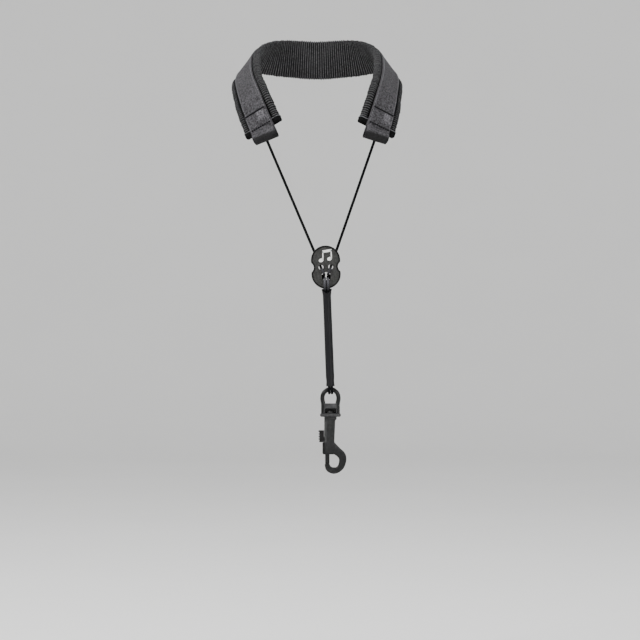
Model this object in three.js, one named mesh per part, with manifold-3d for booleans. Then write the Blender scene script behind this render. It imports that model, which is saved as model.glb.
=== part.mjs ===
// Saxophone neck strap: a padded band for the neck, two cords, a cord adjuster and a swivel snap hook.
// Millimetres, +Z up, the wearer faces -Y. The origin is the middle of the band's inner face at the nape,
// where the strap rests on the neck.
import * as THREE from "three";
import { mergeVertices } from "three/addons/utils/BufferGeometryUtils.js";
import Module from "manifold-3d";

const wasm = await Module();
wasm.setup();

// ---- driving dimensions ----
const GAP = 0.3; // clearance between pieces that touch
const BAND_HALF_WIDTH = 20.5;
const BAND_THICKNESS = 6.2;
const BAND_CORNER = 1.8;
const COVER_WALL = 1.1;
const HEM_LENGTH = 4.2;
const BAND_STEPS = 46;
const PULL_REACH = 3.5; // the hanging weight draws both front ends sideways by this much
const PULL_TOP = -34;
const PULL_DEPTH = 60;

const WEBBING_HALF_WIDTH = 12.5;
const WEBBING_THICKNESS = 1.6;
const FLAP_LENGTH = 19;
const LOOP_REACH = 9.9; // from the band's end to the centre of the webbing's end loop
const LOOP_RADIUS = 3.6;
const LOOP_LIFT = 9;
const LOOP_STEPS = 10;

const CORD_RADIUS = 1.2;
const CORD_SIDES = 8;
const STRAND_OFFSET = 1.35; // four strands lie in a square inside the sleeve
const STRAND_SPLIT = -74; // where the adjuster's strands meet the hook's strands, inside the sleeve
const KNOT_RADIUS = 2.4;

const SLIDER_X = 8.8;
const SLIDER_BELOW_NAPE = 224;
const LINE_TILT = THREE.MathUtils.degToRad(2.2); // lean of the adjuster and the sleeve from plumb
const PLATE_THICKNESS = 3.6;
const PLATE_BEVEL = 0.7;
const LOBE_RADIUS = 14.5;
const LOBE_OFFSET = 6.9;
const LOBE_JOIN = THREE.MathUtils.degToRad(8);
const WAIST_HALF_WIDTH = 11.9;
const UPPER_HOLE = { x: 4.8, radius: 2.95 };
const LOWER_HOLE = { z: -8.9, halfWidth: 4.3, halfHeight: 4, corner: 2.6 };
const EMBLEM_THICKNESS = 0.6;
const END_KNOT = [2.9, 6.8, -10.3];

const EYE_BELOW_SLIDER = 119.3; // to the top of the swivel eye's bow
const BOW_RADIUS = 2.1;
const BOW_CENTRE = -1.5;
const CROSSBAR = { top: -16.2, bottom: -20.9, halfWidth: 7.2 };
const FLANGE = { top: -26, bottom: -29.3, halfWidth: 8.7, depth: 6 };
const EYE_BACK = { inner: 3.25, outer: 4.2 }; // wall that closes the back of the swivel's window
const POST_RADIUS = 2.1;
const BORE_RADIUS = 2.4;
const HOOK_BODY_DEPTH = 8.6;
const HOOK_RING_DEPTH = 6.4;

const BOLT_X = -3.1;
const BOLT_RADIUS = 2.2;
const CHANNEL_RADIUS = 2.55;
const CHANNEL_TOP = -35;
const BOLT_TOP = -49.2;
const BOLT_TIP = -76.1;
const SPRING_RADIUS = 1.85;
const SPRING_WIRE = 0.25;
const SPRING_TURNS = 7;

// Half of the band's inner face from the nape to a front end: points of its centre line, and the
// direction there from the edge beside the neck to the edge on the shoulder.
const HALF_BAND = [
  { at: [0, 0, 0], across: [0, 0.11, -0.99] },
  { at: [36, -5, 0.5], across: [0.12, 0.41, -0.9] },
  { at: [59, -21, -2], across: [0.49, 0.55, -0.67] },
  { at: [68.5, -45.5, -13], across: [0.56, 0.42, -0.71] },
  { at: [71, -79, -25.5], across: [0.66, 0.2, -0.72] },
  { at: [68.5, -113, -41.5], across: [0.64, 0.24, -0.73] },
  { at: [63, -140, -62], across: [0.76, 0.27, -0.59] },
  { at: [54.5, -152.5, -87], across: [0.88, 0.31, -0.36] },
];

// Route of the right-hand cord through the adjuster: from behind the upper hole, out to the front, over
// the bridge, back through the lower hole and down behind the plate into the sleeve.
const WEAVE_ROUTE = [
  [5.9, 3.3, 2.8],
  [5.2, 3.1, 0.9],
  [4.8, 1.9, -0.4],
  [4.6, 0, -1],
  [4.4, -2.1, -1.5],
  [3.8, -3.4, -2.8],
  [2.9, -3.4, -4.5],
  [2.2, -2.6, -6.4],
  [1.9, 0, -7.5],
  [2.2, 2, -7.9],
  [4.3, 3.5, -9],
  [5.3, 3.6, -11.5],
  [4.6, 3.5, -15],
  [2.9, 3.4, -18.6],
  [1.8, 2.9, -21.8],
  [1.45, 2, -25],
  [STRAND_OFFSET, STRAND_OFFSET, -29],
  [STRAND_OFFSET, STRAND_OFFSET, -45],
  [STRAND_OFFSET, STRAND_OFFSET, STRAND_SPLIT],
];

// Route of the same cord's far end: up out of the sleeve, over the front of the lower lobe, through the
// lower hole and into its end knot behind the plate.
const RETURN_ROUTE = [
  [2.2, 4.1, -10.9],
  [1.7, 2.4, -11.1],
  [1.4, 0, -11.3],
  [1.4, -2, -11.2],
  [1.5, -3.3, -12.1],
  [1.6, -3.5, -14],
  [1.7, -3.4, -17],
  [1.7, -3.2, -20],
  [1.6, -2.8, -22.4],
  [1.45, -2, -25],
  [STRAND_OFFSET, -STRAND_OFFSET, -29],
  [STRAND_OFFSET, -STRAND_OFFSET, -45],
  [STRAND_OFFSET, -STRAND_OFFSET, STRAND_SPLIT],
];

// Half of a strand's turn round the eye's bow: distance from the sleeve's axis and height.
const BOW_TURN = [
  [STRAND_OFFSET, STRAND_SPLIT - GAP],
  [STRAND_OFFSET, -95],
  [STRAND_OFFSET, -109],
  [1.45, -112.8],
  [1.95, -115.8],
  [2.95, -118.3],
  [4.1, -120.9],
  [3.1, -124],
];
const BOW_TURN_BOTTOM = -125.5;

// ---- materials ----
const ribbedFabric = new THREE.MeshStandardMaterial({ color: 0x1c1c1e, roughness: 0.95, metalness: 0 });
const greyWebbing = new THREE.MeshStandardMaterial({ color: 0x55535a, roughness: 0.75, metalness: 0 });
const foam = new THREE.MeshStandardMaterial({ color: 0x3a3a3c, roughness: 1, metalness: 0 });
const cordFabric = new THREE.MeshStandardMaterial({ color: 0x101012, roughness: 0.8, metalness: 0 });
const moulded = new THREE.MeshStandardMaterial({ color: 0x3f403f, roughness: 0.55, metalness: 0 });
const darkMoulded = new THREE.MeshStandardMaterial({ color: 0x2a2b2c, roughness: 0.4, metalness: 0 });
const silver = new THREE.MeshStandardMaterial({ color: 0xd8d8d4, roughness: 0.35, metalness: 0.4 });
const springSteel = new THREE.MeshStandardMaterial({ color: 0x9a9a9c, roughness: 0.3, metalness: 1 });
const sleeveRubber = new THREE.MeshStandardMaterial({ color: 0x2c2b2f, roughness: 0.5, metalness: 0 });

// ---- joining and cutting ----
// Triangles that keep their area once shared vertices are merged: those at a turned shape's poles don't.
function realTriangles(index) {
  const kept = [];
  for (let corner = 0; corner < index.length; corner += 3) {
    const [a, b, c] = index.slice(corner, corner + 3);
    if (a !== b && b !== c && c !== a) {
      kept.push(a, b, c);
    }
  }
  return kept;
}

function toSolid(geometry) {
  const bare = geometry.clone();
  bare.deleteAttribute("normal");
  bare.deleteAttribute("uv");
  const merged = mergeVertices(bare, 1e-4);
  const vertProperties = new Float32Array(merged.attributes.position.array);
  const triVerts = new Uint32Array(realTriangles(merged.index.array));
  return new wasm.Manifold(new wasm.Mesh({ numProp: 3, vertProperties, triVerts }));
}

function toGeometry(solid) {
  const mesh = solid.getMesh();
  const geometry = new THREE.BufferGeometry();
  geometry.setAttribute("position", new THREE.BufferAttribute(mesh.vertProperties, 3));
  geometry.setIndex(new THREE.BufferAttribute(mesh.triVerts, 1));
  geometry.computeVertexNormals();
  return geometry;
}

function combine(joined, cuts = []) {
  let solid = toSolid(joined[0]);
  for (const part of joined.slice(1)) {
    solid = solid.add(toSolid(part));
  }
  for (const cut of cuts) {
    solid = solid.subtract(toSolid(cut));
  }
  return toGeometry(solid);
}

// ---- basic shapes ----
function block(xRange, yRange, zRange) {
  const size = [xRange, yRange, zRange].map(([low, high]) => high - low);
  const centre = [xRange, yRange, zRange].map(([low, high]) => (low + high) / 2);
  return new THREE.BoxGeometry(...size).translate(...centre);
}

function uprightCylinder(x, radius, top, bottom) {
  const geometry = new THREE.CylinderGeometry(radius, radius, top - bottom, 20);
  return geometry.rotateX(Math.PI / 2).translate(x, 0, (top + bottom) / 2);
}

function crossCylinder(x, z, radius, depth) {
  return new THREE.CylinderGeometry(radius, radius, depth, 16).translate(x, 0, z);
}

// A front outline in x and z with a given depth along y and rounded edges.
function plate(shape, depth, bevel, curveSegments) {
  const geometry = new THREE.ExtrudeGeometry(shape, {
    depth: depth - 2 * bevel,
    bevelEnabled: bevel > 0,
    bevelThickness: bevel,
    bevelSize: bevel,
    bevelOffset: -bevel,
    bevelSegments: 2,
    curveSegments,
  });
  return geometry.rotateX(Math.PI / 2).translate(0, depth / 2 - bevel, 0);
}

function turned(profile, segments) {
  const points = profile.map(([radius, z]) => new THREE.Vector2(radius, z));
  return new THREE.LatheGeometry(points, segments).rotateX(Math.PI / 2);
}

function tube(curve, radius, sides, steps) {
  const section = new THREE.Shape();
  section.absarc(0, 0, radius, 0, 2 * Math.PI, false);
  return new THREE.ExtrudeGeometry(section, { extrudePath: curve, steps, curveSegments: sides / 2 });
}

function cordAlong(points, steps) {
  const curve = new THREE.CatmullRomCurve3(points.map((point) => new THREE.Vector3(...point)));
  return tube(curve, CORD_RADIUS, CORD_SIDES, steps);
}

function mirrored(points, side) {
  return points.map(([x, y, z]) => [side * x, y, z]);
}

// ---- neck band ----
function bandPoint(station, side) {
  const [x, y, z] = station.at;
  const pull = PULL_REACH * THREE.MathUtils.clamp((PULL_TOP - z) / PULL_DEPTH, 0, 1);
  return new THREE.Vector3(side * x + pull, y, z);
}

function edgeDirection(station, side) {
  const [x, y, z] = station.across;
  return new THREE.Vector3(side * x, y, z);
}

function wholeBand(pick) {
  const left = HALF_BAND.slice(1).reverse();
  return [...left.map((station) => pick(station, -1)), ...HALF_BAND.map((station) => pick(station, 1))];
}

const centreLine = new THREE.CatmullRomCurve3(wholeBand(bandPoint));
const edgeLine = new THREE.CatmullRomCurve3(wholeBand(edgeDirection));
centreLine.arcLengthDivisions = 600;
const bandLength = centreLine.getLength();

// The band's frame at a distance from its left front end; it runs straight on past both ends.
function frameAt(distance) {
  const inside = THREE.MathUtils.clamp(distance, 0, bandLength);
  const part = inside / bandLength;
  const along = centreLine.getTangentAt(part);
  const centre = centreLine.getPointAt(part).addScaledVector(along, distance - inside);
  const across = edgeLine.getPoint(centreLine.getUtoTmapping(part));
  across.addScaledVector(along, -across.dot(along)).normalize();
  const outward = new THREE.Vector3().crossVectors(along, across);
  return { centre, along, across, outward };
}

function lifted(distance, lift) {
  const frame = frameAt(distance);
  return frame.centre.addScaledVector(frame.outward, lift);
}

// A closed strip whose outline, in across and outward offsets, follows a path of distances and lifts.
function strip(path, outline) {
  const positions = [];
  path.forEach(([distance, lift], index) => {
    const { centre, along, across, outward } = frameAt(distance);
    const before = path[Math.max(index - 1, 0)];
    const after = path[Math.min(index + 1, path.length - 1)];
    const heading = along.clone().multiplyScalar(after[0] - before[0]);
    heading.addScaledVector(outward, after[1] - before[1]).normalize();
    const facing = new THREE.Vector3().crossVectors(heading, across);
    const middle = centre.addScaledVector(outward, lift);
    for (const [side, up] of outline) {
      const corner = middle.clone().addScaledVector(across, side).addScaledVector(facing, up);
      positions.push(corner.x, corner.y, corner.z);
    }
  });
  return closedLoft(positions, path.length, outline.length);
}

// The underside's quads are split the same way across as the top's, so that layers keep their distance.
function closedLoft(positions, rings, sides) {
  const triangles = [];
  for (let ring = 0; ring < rings - 1; ring += 1) {
    for (let side = 0; side < sides; side += 1) {
      const here = ring * sides + side;
      const next = ring * sides + ((side + 1) % sides);
      if (side < sides / 2) {
        triangles.push(here, here + sides, next, next, here + sides, next + sides);
      } else {
        triangles.push(here, here + sides, next + sides, here, next + sides, next);
      }
    }
  }
  const last = (rings - 1) * sides;
  for (let top = 0; top < sides / 2 - 1; top += 1) {
    const under = sides - 1 - top;
    triangles.push(top, top + 1, under - 1, top, under - 1, under);
    triangles.push(last + top, last + under - 1, last + top + 1, last + top, last + under, last + under - 1);
  }
  const geometry = new THREE.BufferGeometry();
  geometry.setAttribute("position", new THREE.Float32BufferAttribute(positions, 3));
  geometry.setIndex(triangles);
  geometry.computeVertexNormals();
  return geometry;
}

// A section runs along its top from the neck side to the shoulder side and back along its bottom. All
// the layers break at the webbing's edges and middle, so that they stay parallel where the band twists.
function section(topRow) {
  const bottomRow = topRow.map(([side, up]) => [side, -up]).reverse();
  return [...topRow, ...bottomRow];
}

function boxSection(halfWidth, thickness) {
  return section([-halfWidth, 0, halfWidth].map((side) => [side, thickness / 2]));
}

function roundedSection(halfWidth, thickness, corner) {
  const half = thickness / 2;
  const side = halfWidth - corner;
  const up = half - corner * 0.8;
  const breaks = [-side, -WEBBING_HALF_WIDTH, 0, WEBBING_HALF_WIDTH, side];
  return section([[-halfWidth, up], ...breaks.map((across) => [across, half]), [halfWidth, up]]);
}

// Distances and one lift from start to end, through the stations that all the band's layers share.
function layerPath(start, end, lift) {
  const spacing = bandLength / BAND_STEPS;
  const path = [[start, lift]];
  for (let station = 1; station < BAND_STEPS; station += 1) {
    const distance = station * spacing;
    if (distance > start + 1 && distance < end - 1) {
      path.push([distance, lift]);
    }
  }
  path.push([end, lift]);
  return path;
}

function ribbedCover() {
  const start = HEM_LENGTH + GAP;
  const end = bandLength - start;
  const middle = BAND_THICKNESS / 2;
  const outer = roundedSection(BAND_HALF_WIDTH, BAND_THICKNESS, BAND_CORNER);
  const bore = roundedSection(
    BAND_HALF_WIDTH - COVER_WALL,
    BAND_THICKNESS - 2 * COVER_WALL,
    BAND_CORNER - COVER_WALL / 2,
  );
  const solid = strip(layerPath(start, end, middle), outer);
  return combine([solid], [strip(layerPath(start - 1, end + 1, middle), bore)]);
}

function padCore() {
  const start = HEM_LENGTH + GAP;
  const inset = COVER_WALL + GAP;
  const outline = roundedSection(BAND_HALF_WIDTH - inset, BAND_THICKNESS - 2 * inset, 1);
  return strip(layerPath(start, bandLength - start, BAND_THICKNESS / 2), outline);
}

function hem(start) {
  const outline = roundedSection(BAND_HALF_WIDTH, BAND_THICKNESS, BAND_CORNER);
  return strip(layerPath(start, start + HEM_LENGTH, BAND_THICKNESS / 2), outline);
}

// Half of the webbing's route from its flap's cut end round the end loop and back under the flap.
function webbingEnd() {
  const lower = BAND_THICKNESS + GAP + WEBBING_THICKNESS / 2;
  const upper = lower + WEBBING_THICKNESS + GAP + 0.1;
  const path = layerPath(1, FLAP_LENGTH, upper).reverse();
  path.push([-1.5, upper + 0.2], [-4, upper + 1.2], [-7, LOOP_LIFT + LOOP_RADIUS - 0.5]);
  for (let step = 0; step <= LOOP_STEPS; step += 1) {
    const angle = Math.PI / 2 - (Math.PI * step) / LOOP_STEPS;
    path.push([-LOOP_REACH - LOOP_RADIUS * Math.cos(angle), LOOP_LIFT + LOOP_RADIUS * Math.sin(angle)]);
  }
  path.push([-7, LOOP_LIFT - LOOP_RADIUS + 0.2], [-4, lower - 0.9], [-1, lower - 0.1]);
  return { path, lower };
}

function webbing() {
  const { path, lower } = webbingEnd();
  const farPath = path.map(([distance, lift]) => [bandLength - distance, lift]).reverse();
  const middle = layerPath(2, bandLength - 2, lower);
  const strap = strip([...path, ...middle, ...farPath], boxSection(WEBBING_HALF_WIDTH, WEBBING_THICKNESS));
  return combine([strap], [-1, 1].map(cordHole));
}

// ---- the line from the band to the hook ----
const loopCentres = {
  [-1]: lifted(-LOOP_REACH, LOOP_LIFT),
  [1]: lifted(bandLength + LOOP_REACH, LOOP_LIFT),
};
const cordBehindPlate = PLATE_THICKNESS / 2 + GAP + CORD_RADIUS;
const sliderCentre = new THREE.Vector3(
  SLIDER_X,
  loopCentres[1].y - cordBehindPlate,
  -SLIDER_BELOW_NAPE,
);

// A point of the leaning line's frame, whose origin is the adjuster's centre.
function onLine(x, y, z) {
  const point = new THREE.Vector3(x, y, z).applyAxisAngle(new THREE.Vector3(0, 1, 0), -LINE_TILT);
  return point.add(sliderCentre);
}

function upperCordEnds(side) {
  const start = loopCentres[side].clone();
  const end = onLine(side * WEAVE_ROUTE[0][0], WEAVE_ROUTE[0][1], WEAVE_ROUTE[0][2]);
  const down = end.clone().sub(start).normalize();
  start.addScaledVector(down, KNOT_RADIUS + GAP);
  end.addScaledVector(down, -GAP - 0.1);
  return { start, end, down };
}

function upperCord(side) {
  const { start, end } = upperCordEnds(side);
  return tube(new THREE.LineCurve3(start, end), CORD_RADIUS, CORD_SIDES, 18);
}

function cordHole(side) {
  const { start, down } = upperCordEnds(side);
  const reach = LOOP_RADIUS + WEBBING_THICKNESS;
  const end = start.clone().addScaledVector(down, reach);
  return tube(new THREE.LineCurve3(start, end), CORD_RADIUS + GAP, 12, 1);
}

function knot() {
  return new THREE.SphereGeometry(KNOT_RADIUS, 10, 7);
}

// ---- adjuster ----
function circularHole(x, z, radius) {
  const hole = new THREE.Path();
  hole.absarc(x, z, radius, 0, 2 * Math.PI, true);
  return hole;
}

function roundedHole({ z, halfWidth, halfHeight, corner }) {
  const hole = new THREE.Path();
  const inX = halfWidth - corner;
  const inZ = halfHeight - corner;
  const quarter = Math.PI / 2;
  hole.absarc(inX, z + inZ, corner, quarter, 0, true);
  hole.absarc(inX, z - inZ, corner, 0, -quarter, true);
  hole.absarc(-inX, z - inZ, corner, -quarter, -2 * quarter, true);
  hole.absarc(-inX, z + inZ, corner, 2 * quarter, quarter, true);
  return hole;
}

function sliderPlate() {
  const joinX = LOBE_RADIUS * Math.cos(LOBE_JOIN);
  const joinZ = LOBE_OFFSET - LOBE_RADIUS * Math.sin(LOBE_JOIN);
  const pinch = 2 * WAIST_HALF_WIDTH - joinX;
  const outline = new THREE.Shape();
  outline.absarc(0, LOBE_OFFSET, LOBE_RADIUS, -LOBE_JOIN, Math.PI + LOBE_JOIN, false);
  outline.quadraticCurveTo(-pinch, 0, -joinX, -joinZ);
  outline.absarc(0, -LOBE_OFFSET, LOBE_RADIUS, Math.PI - LOBE_JOIN, 2 * Math.PI + LOBE_JOIN, false);
  outline.quadraticCurveTo(pinch, 0, joinX, joinZ);
  outline.holes.push(circularHole(-UPPER_HOLE.x, 0, UPPER_HOLE.radius));
  outline.holes.push(circularHole(UPPER_HOLE.x, 0, UPPER_HOLE.radius));
  outline.holes.push(roundedHole(LOWER_HOLE));
  return plate(outline, PLATE_THICKNESS, PLATE_BEVEL, 8);
}

function polygon(points) {
  return new THREE.Shape(points.map(([x, z]) => new THREE.Vector2(x, z)));
}

function noteHead(x, z) {
  const head = new THREE.Shape();
  head.absellipse(x, z, 2.4, 1.8, 0, 2 * Math.PI, false, 0.35);
  return head;
}

// A plain pair of beamed musical notes, laid on the upper lobe.
function emblem() {
  const strokes = [
    noteHead(-4.4, 6.9),
    noteHead(4, 8.1),
    polygon([[-3.1, 6.9], [-2, 6.9], [-2, 16], [-3.1, 16]]),
    polygon([[5.3, 8.1], [6.4, 8.1], [6.4, 17.2], [5.3, 17.2]]),
    polygon([[-3.1, 14.1], [6.4, 15.3], [6.4, 17.8], [-3.1, 16.6]]),
  ];
  const solids = strokes.map((stroke) => plate(stroke, EMBLEM_THICKNESS, 0, 12));
  const forward = -(PLATE_THICKNESS + EMBLEM_THICKNESS) / 2 - GAP;
  return combine(solids).translate(0, forward, 0);
}

// ---- sleeve and the strands inside it ----
function sleeve() {
  const profile = [
    [5.4, -21.9], [5.3, -23.2], [4.7, -25.8], [4.05, -28.6], [4.05, -60], [4.1, -90], [4.15, -112],
    [5.1, -118.3], [4.75, -118.3], [3.4, -112], [3.4, -60], [3.4, -29.6], [3.6, -27.6], [4.25, -24.5],
    [4.9, -21.9], [5.4, -21.9],
  ];
  return turned(profile.reverse(), 16);
}

function bowLoop(side) {
  const x = side * STRAND_OFFSET;
  const front = BOW_TURN.map(([out, z]) => [x, -out, z]);
  const back = BOW_TURN.map(([out, z]) => [x, out, z]).reverse();
  return cordAlong([...front, [x, 0, BOW_TURN_BOTTOM], ...back], 46);
}

// ---- swivel eye, in the hook's frame: origin at the top of the bow ----
function bow() {
  const half = [[7.2, -27.6], [7.15, -22], [7.2, -16.5], [8, -11], [7, -6.4], [4.1, -3.3]];
  const left = half.map(([x, z]) => new THREE.Vector3(-x, 0, z));
  const right = half.map(([x, z]) => new THREE.Vector3(x, 0, z)).reverse();
  const curve = new THREE.CatmullRomCurve3([...left, new THREE.Vector3(0, 0, BOW_CENTRE), ...right]);
  return tube(curve, BOW_RADIUS, 10, 26);
}

function swivelEye() {
  const halfDepth = FLANGE.depth / 2;
  const endRadius = (FLANGE.top - FLANGE.bottom) / 2;
  const endZ = (FLANGE.top + FLANGE.bottom) / 2;
  const barX = [-CROSSBAR.halfWidth, CROSSBAR.halfWidth];
  const pieces = [
    bow(),
    block(barX, [-2.3, EYE_BACK.outer], [CROSSBAR.bottom, CROSSBAR.top]),
    block(barX, [EYE_BACK.inner, EYE_BACK.outer], [FLANGE.bottom, CROSSBAR.bottom + 1]),
    block(barX, [halfDepth - 1, EYE_BACK.outer], [FLANGE.bottom, FLANGE.top]),
    block([-FLANGE.halfWidth, FLANGE.halfWidth], [-halfDepth, halfDepth], [FLANGE.bottom, FLANGE.top]),
    crossCylinder(-FLANGE.halfWidth, endZ, endRadius, FLANGE.depth),
    crossCylinder(FLANGE.halfWidth, endZ, endRadius, FLANGE.depth),
  ];
  return combine(pieces, [uprightCylinder(0, BORE_RADIUS, FLANGE.top + 2, FLANGE.bottom - 2)]);
}

// ---- hook body ----
function swivelPost() {
  const under = FLANGE.top + GAP;
  return turned([
    [0, -32], [POST_RADIUS, -32], [POST_RADIUS, under], [2.95, under], [2.95, -25], [2.5, -24],
    [1.5, -23.4], [0, -23.2],
  ], 20);
}

function hookBarrel() {
  const top = FLANGE.bottom - GAP;
  return plate(polygon([
    [-6.1, top], [-6.1, -54.8], [-7.9, -55.2], [-7.9, -65.4], [-7, -66.5], [3.3, -66.5], [3.7, -56],
    [4.7, -33.2], [6, -31.2], [6, top],
  ]), HOOK_BODY_DEPTH, 0.7, 4);
}

function hookRing() {
  const outer = [
    [9, -60.2], [13.9, -64.9], [15.7, -69.5], [15.3, -75], [12.9, -80.6], [8.3, -84.6], [3, -85.9],
    [-2.2, -84.2], [-5, -80.8], [-5.7, -76.4],
  ];
  const inner = [[7.6, -77.6], [8.6, -73.6], [8.3, -70.7], [6.2, -68.2], [3, -66.3]];
  const outline = new THREE.Shape();
  outline.moveTo(3.6, -54.4);
  outline.splineThru(outer.map(([x, z]) => new THREE.Vector2(x, z)));
  outline.lineTo(-0.9, -76.4);
  outline.quadraticCurveTo(0.1, -79.7, 2.6, -79.7);
  outline.lineTo(5.6, -79.7);
  outline.splineThru(inner.map(([x, z]) => new THREE.Vector2(x, z)));
  outline.lineTo(0, -62);
  return plate(outline, HOOK_RING_DEPTH, 1.1, 2);
}

function hookBody() {
  const channel = uprightCylinder(BOLT_X, CHANNEL_RADIUS, CHANNEL_TOP, -68);
  const slot = block([-9, BOLT_X], [-1.5, 1.5], [-54.9, -39.9]);
  return combine([hookBarrel(), swivelPost(), hookRing()], [channel, slot]);
}

// ---- bolt with its thumb piece, and the spring above it ----
function bolt() {
  const rod = uprightCylinder(BOLT_X, BOLT_RADIUS, BOLT_TOP, BOLT_TIP);
  const neck = block([-9, BOLT_X], [-1.2, 1.2], [-53.9, -49.5]);
  const thumb = plate(polygon([[-12, -43.4], [-12, -53.4], [-10.6, -54.5], [-6.45, -54.5],
    [-6.45, -42.8], [-11.2, -42.8]]), 6.4, 0.6, 4);
  const grooves = [-45.2, -47.7, -50.2, -52.7].map((z) => crossCylinder(-12.2, z, 0.85, 8));
  return combine([rod, neck, thumb], grooves);
}

class Helix extends THREE.Curve {
  getPoint(part, target = new THREE.Vector3()) {
    const angle = 2 * Math.PI * SPRING_TURNS * part;
    const low = BOLT_TOP + GAP + SPRING_WIRE;
    const high = CHANNEL_TOP - GAP - SPRING_WIRE;
    const x = BOLT_X + SPRING_RADIUS * Math.cos(angle);
    return target.set(x, SPRING_RADIUS * Math.sin(angle), low + (high - low) * part);
  }
}

function boltSpring() {
  return tube(new Helix(), SPRING_WIRE, 6, SPRING_TURNS * 8);
}

// ---- assembly ----
function piece(name, geometry, material) {
  const mesh = new THREE.Mesh(geometry, material);
  mesh.name = name;
  return mesh;
}

const neckBand = new THREE.Group();
neckBand.add(piece("ribbed_cover", ribbedCover(), ribbedFabric));
neckBand.add(piece("pad_core", padCore(), foam));
neckBand.add(piece("webbing", webbing(), greyWebbing));

const line = new THREE.Group();
line.position.copy(sliderCentre);
line.rotation.y = -LINE_TILT;
line.add(piece("slider_plate", sliderPlate(), moulded));
line.add(piece("emblem", emblem(), silver));
line.add(piece("sleeve", sleeve(), sleeveRubber));

for (const [word, side, hemStart] of [["left", -1, 0], ["right", 1, bandLength - HEM_LENGTH]]) {
  neckBand.add(piece(`${word}_hem`, hem(hemStart), ribbedFabric));
  const anchor = piece(`${word}_anchor_knot`, knot(), cordFabric);
  anchor.position.copy(loopCentres[side]);
  neckBand.add(anchor);
  neckBand.add(piece(`${word}_cord`, upperCord(side), cordFabric));
  line.add(piece(`${word}_weave`, cordAlong(mirrored(WEAVE_ROUTE, side), 46), cordFabric));
  line.add(piece(`${word}_return`, cordAlong(mirrored(RETURN_ROUTE, side), 36), cordFabric));
  const end = piece(`${word}_end_knot`, knot(), cordFabric);
  end.position.set(side * END_KNOT[0], END_KNOT[1], END_KNOT[2]);
  line.add(end);
  line.add(piece(`${word}_bow_loop`, bowLoop(side), cordFabric));
}

const hook = new THREE.Group();
hook.position.copy(onLine(0, 0, -EYE_BELOW_SLIDER));
hook.add(piece("swivel_eye", swivelEye(), darkMoulded));
hook.add(piece("hook_body", hookBody(), moulded));
hook.add(piece("bolt", bolt(), darkMoulded));
hook.add(piece("bolt_spring", boltSpring(), springSteel));

const strap = new THREE.Group();
strap.add(neckBand, line, hook);
export default strap;
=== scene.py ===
"""Looks of a saxophone neck strap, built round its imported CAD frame. Shapes are in mm, and turn into
metres where a piece is made."""
import math

import bmesh
import bpy
import numpy as np
from mathutils import Matrix, Vector, noise


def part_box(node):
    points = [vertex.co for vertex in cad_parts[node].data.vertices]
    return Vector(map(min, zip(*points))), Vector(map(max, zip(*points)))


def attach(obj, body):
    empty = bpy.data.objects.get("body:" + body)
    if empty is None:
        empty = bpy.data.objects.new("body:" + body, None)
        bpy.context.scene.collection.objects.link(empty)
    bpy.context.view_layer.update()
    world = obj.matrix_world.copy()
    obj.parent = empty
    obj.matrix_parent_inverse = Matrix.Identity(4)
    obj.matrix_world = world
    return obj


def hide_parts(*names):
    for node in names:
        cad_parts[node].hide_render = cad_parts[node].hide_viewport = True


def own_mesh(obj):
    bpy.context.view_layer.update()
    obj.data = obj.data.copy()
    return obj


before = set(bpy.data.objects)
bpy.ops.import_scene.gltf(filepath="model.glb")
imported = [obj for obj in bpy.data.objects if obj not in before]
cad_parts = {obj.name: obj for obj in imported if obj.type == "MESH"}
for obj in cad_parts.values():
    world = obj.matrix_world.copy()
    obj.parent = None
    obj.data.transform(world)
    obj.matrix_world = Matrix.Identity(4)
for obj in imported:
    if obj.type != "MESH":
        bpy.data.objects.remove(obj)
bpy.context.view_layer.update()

MM = 0.001
random = np.random.default_rng(7)


def link(thing):
    bpy.context.scene.collection.objects.link(thing)
    return thing


# ---- camera ----
VIEW_DISTANCE = 2.3  # from the camera to the front of the band
VIEW_WIDTH = 0.64  # what the frame takes in at that distance
SENSOR = 36.0

camera = bpy.data.objects.new("camera", bpy.data.cameras.new("camera"))
camera.data.sensor_width = SENSOR
camera.data.lens = SENSOR * VIEW_DISTANCE / VIEW_WIDTH
camera.location = (0.003, -0.152 - VIEW_DISTANCE, -0.2765)
camera.rotation_euler = (math.pi / 2, 0, 0)
link(camera)
bpy.context.scene.camera = camera

# ---- sizes in mm, as in the CAD model ----
BAND_HALF_WIDTH = 20.5
BAND_THICKNESS = 6.2
HEM_LENGTH = 4.2
PULL_REACH = 3.5  # how far both ends hang to the right
PULL_TOP = -34
PULL_DEPTH = 60
HALF_BAND = [  # the right half: points on the band's inner face, and the direction across it
    ((0, 0, 0), (0, 0.11, -0.99)),
    ((36, -5, 0.5), (0.12, 0.41, -0.9)),
    ((59, -21, -2), (0.49, 0.55, -0.67)),
    ((68.5, -45.5, -13), (0.56, 0.42, -0.71)),
    ((71, -79, -25.5), (0.66, 0.2, -0.72)),
    ((68.5, -113, -41.5), (0.64, 0.24, -0.73)),
    ((63, -140, -62), (0.76, 0.27, -0.59)),
    ((54.5, -152.5, -87), (0.88, 0.31, -0.36)),
]
WEBBING_HALF_WIDTH = 12.5
WEBBING_THICKNESS = 1.6
FLAP_LENGTH = 19
LOOP_REACH = 9.9
LOOP_RADIUS = 3.6
LOOP_LIFT = 9
LOWER_LIFT = 7.3
UPPER_LIFT = 9.3
LOOP_SKEW = 0.16  # the cords draw the neck side of each loop further out
SEAM_SIDE = 11.1
TAPE_SHIFT = 1.0  # the sewn tape wanders toward the neck between its ends

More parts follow.
